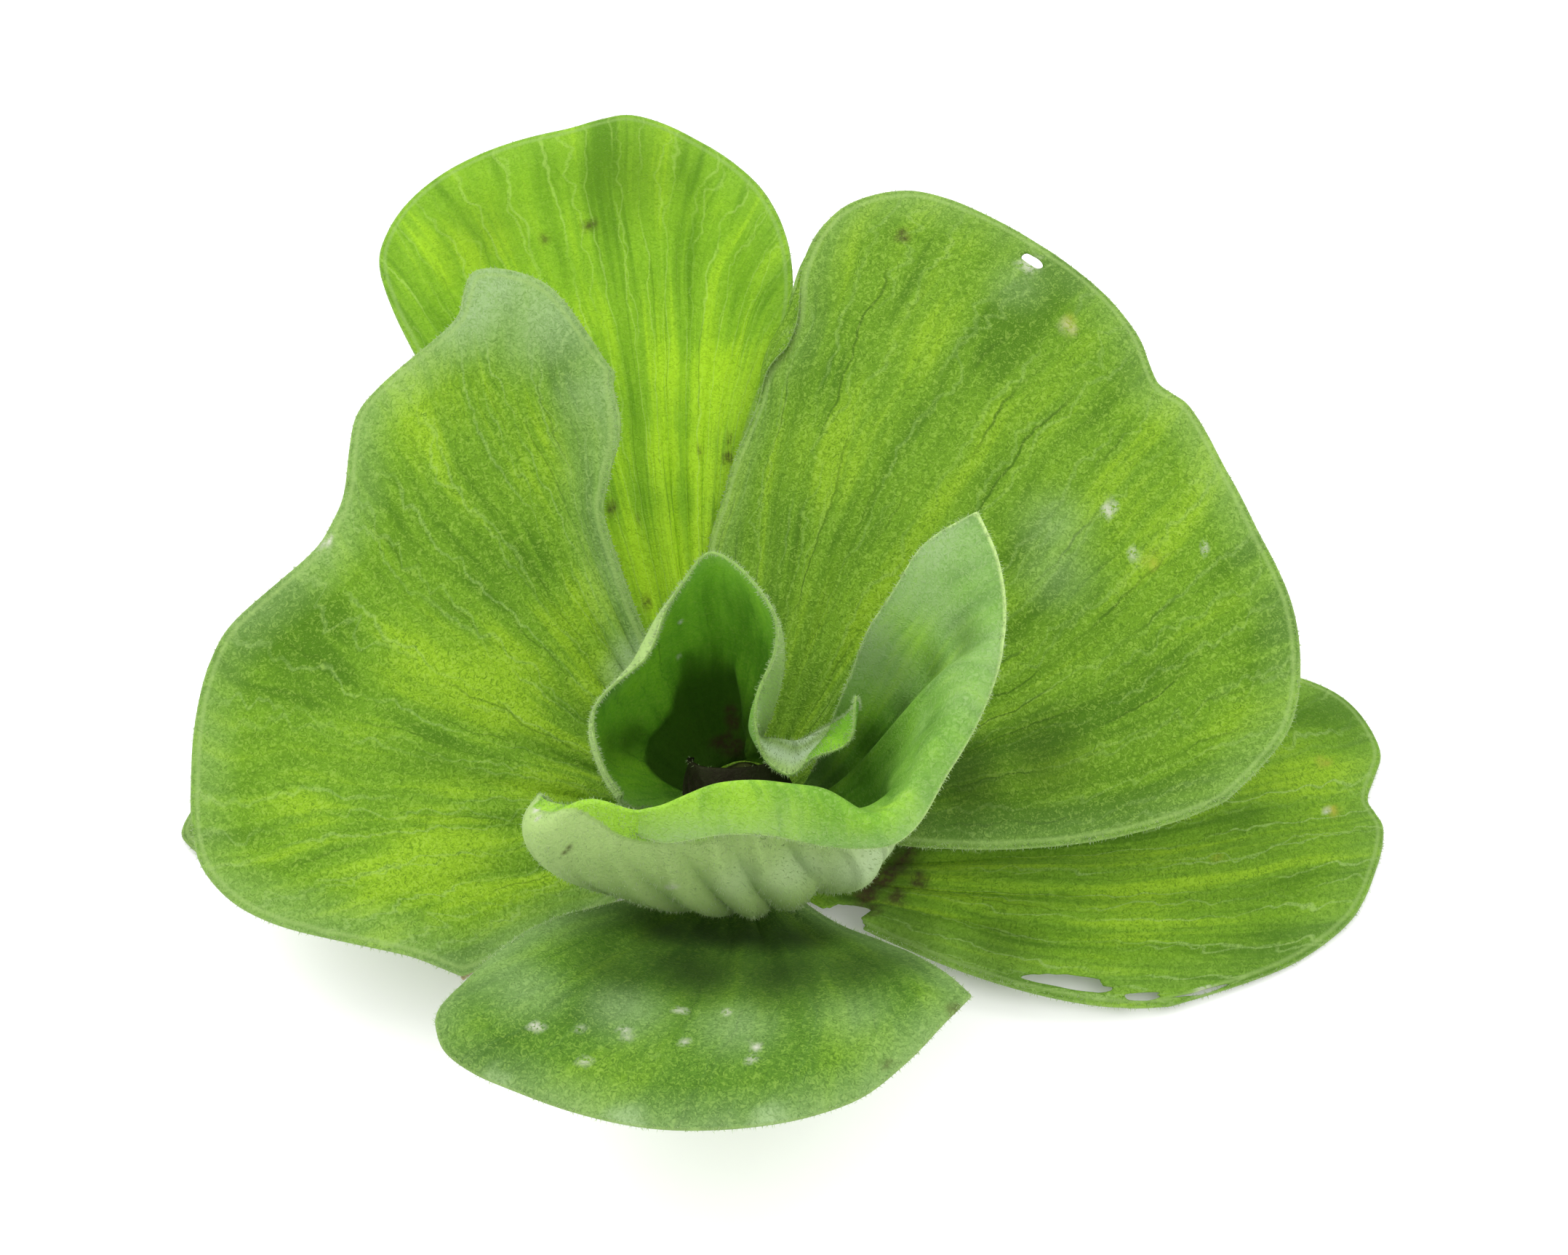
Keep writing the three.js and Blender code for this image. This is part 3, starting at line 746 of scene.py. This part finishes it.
def fold_lift(style, u, v, seed):
    """How far pleats lift each place off the middle surface, in millimetres."""
    bend = np.array([noise.noise(Vector((a * 3.1, b * 0.6, seed))) for a, b in zip(u, v)])
    wave = 0.5 + 0.5 * np.cos(2 * np.pi * (style["folds"] * u + 0.75 * bend))
    window = np.sin(np.pi * np.clip(u, 0, 1)) ** 0.5 * np.clip(v / 0.22, 0, 1) ** 1.2
    window *= np.clip((1 - v) / 0.75, 0, 1) ** 0.8
    lift = -style["fold_depth"] * (wave**1.6 - 0.42) * window
    lift -= pleated(style, u, v, bend)
    for across, slope, drop, height in style.get("steps", ()):
        climb = np.clip((u - across + slope) / slope, 0, 1) * np.clip((across + drop - u) / drop, 0, 1)
        lift += height * climb * np.sin(np.pi * np.clip(v, 0, 1) ** 0.8) ** 0.6
    if "hollow" in style:
        lift += 0.8 * (past_hollow(style, u, v) - 1) * np.clip(v / 0.1, 0, 1)
    return lift


def punched(style, u, v, seed):
    """Which points fall in a hole. Those just outside are pulled to its rim."""
    gone = np.zeros(len(u), bool)
    for across, along, wide, long in style.get("holes", ()):
        x, y = (u - across) / wide, (v - along) / long
        turn = np.arctan2(y, x)
        ring = np.hypot(x, y) / (1 + 0.18 * np.sin(3 * turn + seed) + 0.1 * np.sin(5 * turn))
        gone |= ring < 1
        limit = 1 + 1.5 * max(1 / style["across"] / wide, 1 / style["along"] / long)
        edge = (ring >= 1) & (ring < limit)
        pull = (1 + (ring[edge] - 1) / (limit - 1) * (limit - 1) * 0.35) / ring[edge]
        u[edge], v[edge] = across + x[edge] * pull * wide, along + y[edge] * pull * long
    return gone


def unevenness(style, spot, u, v, seed):
    """How far each place is lifted, in millimetres, by pleats, a slow swell and small bumps."""
    lift = fold_lift(style, u, v, seed)
    lift += style["swell"] * wander(spot, 62.0, seed) * np.clip(v / 0.35, 0, 1)
    lift += 0.22 * style["swell"] * wander(spot, 210.0, seed + 9) * np.clip(v / 0.5, 0, 1)
    for until, low, high in style.get("calm", ()):
        lift *= 1 - np.clip((until + 0.06 - u) / 0.06, 0, 1) * np.clip((v - low) / (high - low), 0, 1)
    return lift


def paint_leaf(leaf, style, sheet, spot, u, v, seed):
    """Stores what the leaf's materials read: its marks, its lip and the painted shade inside its hollow."""
    for key in MARKS:
        store(leaf, key, painted(sheet, spot, style.get(key, ()), seed))
    lip = np.array(style.get("lip", ((0, 2), (1, 2)))).T
    store(leaf, "lip", np.clip(0.5 + (v - np.interp(u, *lip)) / 0.03, 0, 1))
    # deep: painted shade inside the hollow
    store(leaf, "deep", 0.9 * (1 - past_hollow(style, u, v)))


def cut_away(leaf, gone):
    mesh = bmesh.new()
    mesh.from_mesh(leaf.data)
    mesh.verts.ensure_lookup_table()
    bmesh.ops.delete(mesh, geom=[mesh.verts[i] for i in np.flatnonzero(gone)], context="VERTS")
    mesh.to_mesh(leaf.data)
    mesh.free()


def thicken(leaf, group, most):
    """Gives the blade its two skins and its rim, and rounds them."""
    shell = leaf.modifiers.new("Thickness", "SOLIDIFY")
    shell.thickness = most
    shell.offset = 0
    shell.vertex_group = group.name
    shell.thickness_vertex_group = 0
    shell.material_offset = 1
    shell.material_offset_rim = 1
    rounding = leaf.modifiers.new("Rounding", "SUBSURF")
    rounding.levels = rounding.render_levels = 1
    apply_modifiers(leaf)
    smooth(leaf)


def model_leaf(name, style, settings, seed):
    """One leaf, as a grid drawn over its solid's ribs, pleated, swelled, thickened and rounded."""
    sheet = RibSheet(name)
    deselect()
    bpy.ops.mesh.primitive_grid_add(
        x_subdivisions=style["across"], y_subdivisions=style["along"], size=2, location=(0, 0, 0))
    leaf = named(name + "_blade")
    leaf.data.uv_layers[0].name = "Ribs"
    flat = np.empty(len(leaf.data.vertices) * 3)
    leaf.data.vertices.foreach_get("co", flat)
    u, v = (flat[0::3] + 1) / 2, (flat[1::3] + 1) / 2
    gone = punched(style, u, v, seed)
    spot = sheet.place(u, v)
    lift = unevenness(style, spot, u, v, seed)
    lifted = spot + sheet.normal(u, v) * lift[:, None] * MM + moved(style, sheet, spot)
    leaf.data.vertices.foreach_set("co", lifted.ravel())
    store(leaf, "edge", margin_gap(sheet, spot))
    paint_leaf(leaf, style, sheet, spot, u, v, seed)
    # thickness follows the solid: spongy at the seat and thin at the margin
    thick = np.maximum(sheet.thick(u, v) - SLIMMER * MM, THINNEST * MM)
    most = float(thick.max())
    group = leaf.vertex_groups.new(name="thickness")
    for index, share in enumerate(thick / most):
        group.add([index], float(share), "REPLACE")
    if gone.any():
        cut_away(leaf, gone)
    look = {**FULL_LOOK, "folds": style["folds"], **style["look"]}
    leaf.data.materials.append(leaf_material(name + "_under", settings, look, seed, under=True))
    leaf.data.materials.append(leaf_material(name + "_upper", settings, look, seed))
    thicken(leaf, group, most)
    return finish_piece(leaf, style["slot"], name)


def mesh_piece(name, points, faces):
    """A piece made straight from its points and faces, for shapes repeated in hundreds."""
    deselect()
    bpy.ops.mesh.primitive_cube_add(size=0.001, location=(0, 0, 0))
    piece = named(name)
    piece.data.clear_geometry()
    piece.data.from_pydata(points, [], faces)
    piece.data.validate()
    return piece


def read(items, key, width=1, kind=float):
    """One value, or one row of them, for each item of a mesh."""
    values = np.empty(len(items) * width, kind)
    items.foreach_get(key, values)
    return values.reshape(-1, width) if width > 1 else values


def model_hairs(name, leaf, counts, settings, slot, node, seed):
    """Short hairs on a leaf's margin and underside, each a thin three-sided spike."""
    rng = np.random.default_rng(seed)
    skin = leaf.data.polygons
    centre, facing, area = read(skin, "center", 3), read(skin, "normal", 3), read(skin, "area")
    corner = read(leaf.data.loops, "vertex_index", kind=np.int32)[read(skin, "loop_start", kind=np.int32)]
    edge = read(leaf.data.attributes["edge"].data, "value")[corner]
    underside = read(skin, "material_index", kind=np.int32) == 0
    picks = []
    for count, wanted in zip(counts, (edge < 0.45, underside & (edge >= 0.3))):
        chance = area * wanted
        if count and chance.sum() > 0:
            picks.append(rng.choice(len(skin), count, p=chance / chance.sum()))
    pick = np.concatenate(picks)
    lean = facing[pick] + rng.normal(0, 0.35, (len(pick), 3))
    lean /= np.linalg.norm(lean, axis=1, keepdims=True)
    side = np.cross(lean, rng.normal(0, 1, (len(pick), 3)))
    side /= np.linalg.norm(side, axis=1, keepdims=True)
    other = np.cross(lean, side)
    spread = np.sqrt(area[pick])[:, None] * 0.5
    base = centre[pick] + side * rng.uniform(-1, 1, (len(pick), 1)) * spread
    base += other * rng.uniform(-1, 1, (len(pick), 1)) * spread - lean * HAIR_SUNK
    long = settings.hair_length * rng.uniform(0.35, 1.0, (len(pick), 1))
    wide = settings.hair_width / 2
    ring = [base + wide * (side * math.cos(a) + other * math.sin(a)) for a in THIRDS]
    points = np.stack([*ring, base + lean * long], axis=1).reshape(-1, 3)
    faces = [(i + a, i + b, i + c) for i in range(0, len(points), 4)
             for a, b, c in ((0, 1, 3), (1, 2, 3), (2, 0, 3), (2, 1, 0))]
    hairs = mesh_piece(name, points.tolist(), faces)
    hairs.data.materials.append(plain_material(name, HAIR_LIGHT, HAIR_DARK, 300.0, 0.6, 0.4))
    return finish_piece(hairs, slot, node)


class LeafOperator:
    """Shared by the operators that model leaves"""

    bl_options = {"REGISTER"}
    names = ()

    def execute(self, context):
        settings = context.scene.water_lettuce_leaf
        for name in self.names:
            style, seed = LEAVES[name], SEED + list(LEAVES).index(name)
            leaf = model_leaf(name, style, settings, seed)
            model_hairs(name + "_hairs", leaf, style["hairs"], settings, style["slot"], name, seed)
        return {"FINISHED"}


class LETTUCE_OT_full_leaves(LeafOperator, bpy.types.Operator):
    """Models the three large leaves that rise behind and beside the heart"""

    bl_idname = "lettuce.full_leaves"
    bl_label = "Full leaves"
    names = ("leaf_back", "leaf_right", "leaf_left")


class LETTUCE_OT_old_leaves(LeafOperator, bpy.types.Operator):
    """Models the low old leaves, right and left, and the one in front"""

    bl_idname = "lettuce.old_leaves"
    bl_label = "Old leaves"
    names = ("leaf_old_right", "leaf_old_left", "leaf_front")


class LETTUCE_OT_heart_leaves(LeafOperator, bpy.types.Operator):
    """Models the folded young leaves and the bud at the heart"""

    bl_idname = "lettuce.heart_leaves"
    bl_label = "Heart leaves"
    names = ("leaf_cup", "leaf_heart", "leaf_bud")


# ---- Crown and roots ----


ROOT_SIDES = 6
ROOTLETS = 46  # side roots on each root
ROOTLET_STEPS = 5
SCAR_SPACING = 1.5  # millimetres between two rings on the crown
LEAST_RISE = 0.00005  # nothing of a side root is lower


def merged_points(node):
    """A solid's points, each once, and the points each is joined to."""
    mesh = merged_mesh(node)
    points = np.array([v.co for v in mesh.verts])
    joined = [[e.other_vert(v).index for e in v.link_edges] for v in mesh.verts]
    mesh.free()
    return points, joined


def root_line(node):
    """The middle of each ring of a root's solid, from the crown outwards, and the root's radius."""
    points, joined = merged_points(node)
    ring = list(np.argsort(np.hypot(points[:, 0], points[:, 1]))[:ROOT_SIDES])
    first = points[ring]
    radius = float(np.linalg.norm(first - first.mean(axis=0), axis=1).mean())
    seen, line = set(ring), []
    while ring:
        line.append(points[ring].mean(axis=0))
        ring = sorted({n for i in ring for n in joined[i]} - seen)
        seen.update(ring)
    return np.array(line), radius


def unit(vector):
    return vector / np.linalg.norm(vector)


def rootlet_points(spot, way, length, curl, radius):
    """The rings of three points along one side root, and its tip."""
    points = []
    for step in range(ROOTLET_STEPS):
        width = radius * (1 - 0.75 * step / ROOTLET_STEPS)
        side = unit(np.cross(way, (0.3, 0.5, 0.8)))
        other = np.cross(way, side)
        for turn in THIRDS:
            ring = spot + width * (side * math.cos(turn) + other * math.sin(turn))
            ring[2] = max(ring[2], LEAST_RISE)
            points.append(ring.tolist())
        spot = spot + way * length / ROOTLET_STEPS
        way = unit(way + curl / ROOTLET_STEPS)
    spot[2] = max(spot[2], 2 * LEAST_RISE)
    return points + [spot.tolist()]


def rootlet_faces(first):
    faces = [(first + 2, first + 1, first)]
    for step in range(ROOTLET_STEPS - 1):
        for k in range(3):
            a, b = first + step * 3 + k, first + step * 3 + (k + 1) % 3
            faces += [(a, b, b + 3), (a, b + 3, a + 3)]
    last = first + (ROOTLET_STEPS - 1) * 3
    return faces + [(last + k, last + (k + 1) % 3, last + 3) for k in range(3)]


def rootlets(line, settings, rng):
    """Fine side roots off one root, as closed three-sided tapering tubes."""
    points, faces = [], []
    for place in np.linspace(0.12, 0.97, ROOTLETS):
        s = place * (len(line) - 1)
        i = min(int(s), len(line) - 2)
        start = line[i] + (line[i + 1] - line[i]) * (s - i)
        ahead = unit(line[i + 1] - line[i])
        out = np.cross(ahead, rng.normal(0, 1, 3))
        out[2] *= 0.5
        way = unit(unit(out) + ahead * rng.uniform(0.3, 0.9))
        curl = rng.normal(0, 0.35, 3)
        length = settings.rootlet_length * rng.uniform(0.35, 1.0) * (1.05 - 0.6 * place)
        faces += rootlet_faces(len(points))
        points += rootlet_points(start, way, length, curl, settings.rootlet_radius)
    return points, faces


def model_root(node, line, radius, material):
    """One main root, a tube along its solid's middle that thins towards its tip."""
    deselect()
    bpy.ops.curve.primitive_nurbs_path_add(location=(0, 0, 0))
    path = named(node + "_main")
    spline = path.data.splines[0]
    spline.points.add(len(line) - len(spline.points))
    for index, (point, spot) in enumerate(zip(spline.points, line)):
        point.co = (*spot, 1)
        point.radius = 1.0 - 0.65 * index / (len(line) - 1)
    path.data.bevel_depth = radius
    path.data.bevel_resolution = 2
    path.data.use_fill_caps = True
    bpy.ops.object.convert(target="MESH")
    piece = bpy.context.object
    piece.data.materials.append(material)
    smooth(piece)
    return finish_piece(piece, "root", node)


class LETTUCE_OT_roots(bpy.types.Operator):
    """Models the roots, each with its feather of fine side roots"""

    bl_idname = "lettuce.roots"
    bl_label = "Roots"

    def execute(self, context):
        settings = context.scene.water_lettuce_root
        colour = tuple(settings.root_colour)
        material = plain_material("root", colour, scaled(colour, 0.45), 500.0, 0.7, 0.1)
        for node in sorted(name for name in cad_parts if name.startswith("root_")):
            rng = np.random.default_rng(SEED + int(node.split("_")[1]))
            line, radius = root_line(node)
            model_root(node, line, radius, material)
            feather = mesh_piece(node + "_feather", *rootlets(line, settings, rng))
            feather.data.materials.append(material)
            finish_piece(feather, "root", node)
        return {"FINISHED"}


class LETTUCE_OT_crown(bpy.types.Operator):
    """Models the crown: a short stub ringed with old leaf scars"""

    bl_idname = "lettuce.crown"
    bl_label = "Crown"

    def execute(self, context):
        points, _ = merged_points("crown")
        height, radius = points[:, 2], np.hypot(points[:, 0], points[:, 1])
        levels = np.unique(height.round(5))
        wall = [radius[np.abs(height - level) < 2e-5].max() for level in levels]
        deselect()
        bpy.ops.mesh.primitive_uv_sphere_add(segments=56, ring_count=60, radius=1, location=(0, 0, 0))
        crown = named("crown_stub")
        for vertex in crown.data.vertices:
            turn = math.atan2(vertex.co.y, vertex.co.x)
            s = 1 - math.acos(max(-1.0, min(1.0, vertex.co.z))) / math.pi
            inner = min(1.0, s / 0.1, (1 - s) / 0.1)
            z = levels[0] + (levels[-1] - levels[0]) * min(1.0, max(0.0, (s - 0.1) / 0.8))
            wide = float(np.interp(z, levels, wall))
            bend = noise.noise(Vector((math.cos(turn) * 1.5, math.sin(turn) * 1.5, z * 120)))
            ring = 0.5 + 0.5 * math.sin(z / MM * 2 * math.pi / SCAR_SPACING + bend * 5)
            wide *= inner * (0.985 - 0.055 * ring - 0.02 * abs(bend))
            vertex.co = (wide * math.cos(turn), wide * math.sin(turn), z)
        colour = tuple(context.scene.water_lettuce_root.crown_colour)
        crown.data.materials.append(plain_material("crown", colour, scaled(colour, 0.35), 700.0, 0.75))
        smooth(crown)
        finish_piece(crown, "crown", "crown")
        return {"FINISHED"}


# ---- Stage ----

LAMPS = (((-0.25, 0.25, 0.6), 0.5, 1.0), ((0.35, -0.2, 0.5), 0.4, 0.3))  # place, size, share of the light
LIT = Vector((0, 0, 0.02))  # where the lamps point
AIM = Vector((0.004, 0.0158, 0.020))  # where the camera looks
LENS, SENSOR = 60, 36  # millimetres


class LETTUCE_OT_stage(bpy.types.Operator):
    """Makes the pale floor, the soft studio light and the camera"""

    bl_idname = "lettuce.stage"
    bl_label = "Stage"

    def execute(self, context):
        studio = context.scene.water_lettuce_studio
        deselect()
        bpy.ops.mesh.primitive_plane_add(size=6, location=(0, 0, 0))
        floor = named("floor")
        g = Nodes("floor")
        floor.data.materials.append(g.surface(g.add("BsdfPrincipled", inputs={
            "Base Color": (*studio.floor_colour, 1), "Roughness": 0.9, "Specular IOR Level": 0.2})))
        world = bpy.data.worlds.new("studio")
        context.scene.world = world
        world.use_nodes = True
        world.node_tree.nodes["Background"].inputs["Color"].default_value = (1, 1, 1, 1)
        world.node_tree.nodes["Background"].inputs["Strength"].default_value = studio.sky
        for place, size, share in LAMPS:
            bpy.ops.object.light_add(type="AREA", location=place)
            lamp = bpy.context.object
            lamp.data.shape = "DISK"
            lamp.data.size = size
            lamp.data.energy = studio.light * share
            lamp.rotation_euler = (LIT - Vector(place)).to_track_quat("-Z", "Y").to_euler()
        lift = studio.camera_elevation
        back = Vector((0, -math.cos(lift), math.sin(lift)))
        bpy.ops.object.camera_add(
            location=AIM + back * studio.camera_distance, rotation=(math.pi / 2 - lift, 0, 0))
        camera = bpy.context.object
        camera.name = "camera"
        camera.data.lens = LENS
        camera.data.sensor_width = SENSOR
        camera.data.clip_start = 0.005
        context.scene.camera = camera
        context.scene.view_settings.view_transform = "Standard"
        return {"FINISHED"}


class LETTUCE_PT_panel(bpy.types.Panel):
    """The water lettuce's steps and settings"""

    bl_label = "Water lettuce"
    bl_idname = "LETTUCE_PT_panel"
    bl_space_type = "VIEW_3D"
    bl_region_type = "UI"
    bl_category = "Water lettuce"

    def draw(self, context):
        for step in STEPS:
            self.layout.operator(step.bl_idname)
        for group in SETTINGS:
            box = self.layout.box()
            for key in SETTINGS[group].__annotations__:
                box.prop(getattr(context.scene, group), key)


SETTINGS = {
    "water_lettuce_leaf": LeafSettings,
    "water_lettuce_root": RootSettings,
    "water_lettuce_studio": StudioSettings,
}
STEPS = (
    LETTUCE_OT_full_leaves,
    LETTUCE_OT_old_leaves,
    LETTUCE_OT_heart_leaves,
    LETTUCE_OT_crown,
    LETTUCE_OT_roots,
    LETTUCE_OT_stage,
)


def register():
    for group, kind in SETTINGS.items():
        bpy.utils.register_class(kind)
        setattr(bpy.types.Scene, group, bpy.props.PointerProperty(type=kind))
    for kind in (*STEPS, LETTUCE_PT_panel):
        bpy.utils.register_class(kind)


def unregister():
    for kind in reversed((*STEPS, LETTUCE_PT_panel)):
        bpy.utils.unregister_class(kind)
    for group, kind in reversed(SETTINGS.items()):
        delattr(bpy.types.Scene, group)
        bpy.utils.unregister_class(kind)


def main():
    register()
    bpy.ops.lettuce.full_leaves()
    bpy.ops.lettuce.old_leaves()
    bpy.ops.lettuce.heart_leaves()
    bpy.ops.lettuce.crown()
    bpy.ops.lettuce.roots()
    bpy.ops.lettuce.stage()
    bpy.context.view_layer.update()


if __name__ == "__main__":
    main()
